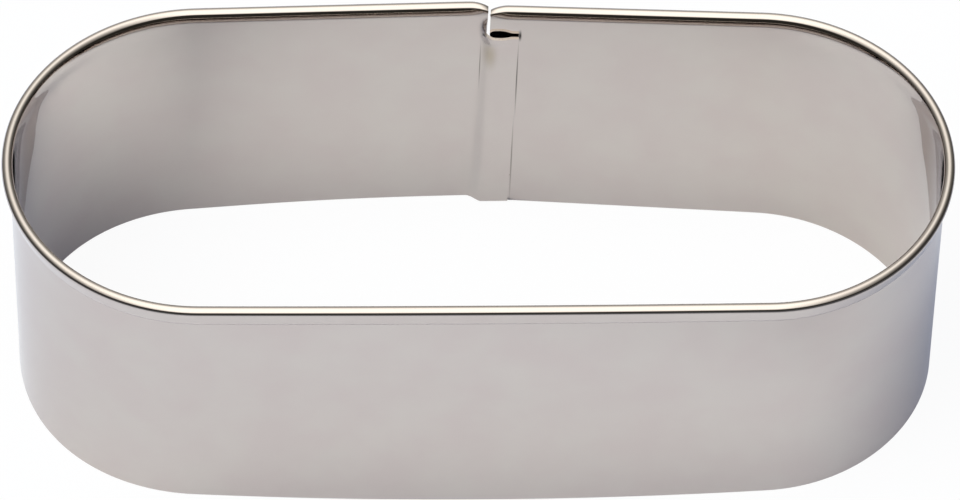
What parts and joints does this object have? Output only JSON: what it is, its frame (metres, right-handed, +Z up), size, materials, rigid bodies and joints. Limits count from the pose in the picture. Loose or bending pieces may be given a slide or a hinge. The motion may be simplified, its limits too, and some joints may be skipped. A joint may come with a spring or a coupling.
{
  "type": "cake ring",
  "caption": "Oblong bottomless cake ring of bright steel sheet with round ends, a rolled wired rim and a lapped, spot-welded seam at the back.",
  "frame": {"origin": "on the foot plane, in the middle of the ring's outer box", "axes": "+X along the ring's length, +Y towards the wall with the seam, +Z up from the foot edge to the rolled rim"},
  "size_m": [0.14, 0.06, 0.045],
  "materials": {
    "bright_sheet": "bright cold-rolled sheet, satin",
    "wire": "drawn, dull",
    "weld": "as melted, matt"
  },
  "bodies": {
    "root": {"band": "bright_sheet", "rim_wire": "wire", "spot_weld_lower": "weld", "spot_weld_middle": "weld", "spot_weld_upper": "weld"}
  },
  "joints": []
}
